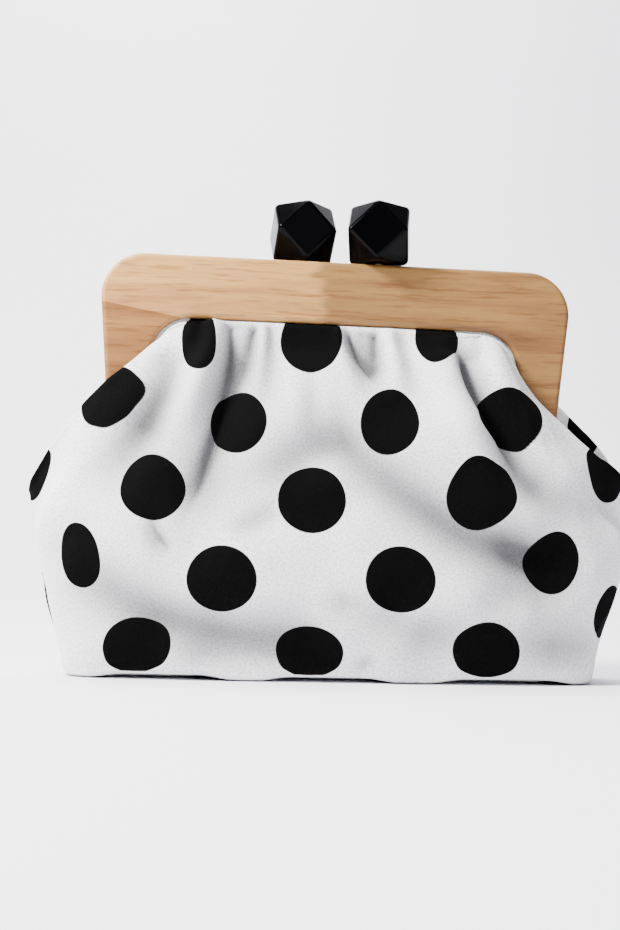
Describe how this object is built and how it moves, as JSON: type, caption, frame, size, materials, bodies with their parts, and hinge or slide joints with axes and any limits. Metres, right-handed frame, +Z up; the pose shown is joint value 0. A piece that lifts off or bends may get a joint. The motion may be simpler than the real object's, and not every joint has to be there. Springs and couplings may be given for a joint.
{
  "type": "wooden frame clutch purse",
  "caption": "Clutch purse with a gathered fabric pouch hung in a rounded wooden frame that closes under faceted beads.",
  "frame": {"origin": "on the surface that the purse stands on, under the middle of its box", "axes": "+X to the purse's right as seen from the front, -Y out of the front, +Z up"},
  "size_m": [0.2747, 0.0944, 0.216],
  "materials": {
    "wood": "sanded pale hardwood with a thin clear matt lacquer",
    "cloth": "plain-weave white cotton with round black dots in a staggered repeat",
    "bead": "polished black acrylic",
    "metal": "plain brass, hidden in use"
  },
  "bodies": {
    "root": {"frame_front": "wood", "frame_back": "wood", "pouch_front": "cloth", "pouch_back": "cloth", "bead_left": "bead", "bead_right": "bead", "bead_post_left": "metal", "bead_post_right": "metal", "hinge_left": "metal", "hinge_right": "metal"}
  },
  "joints": []
}
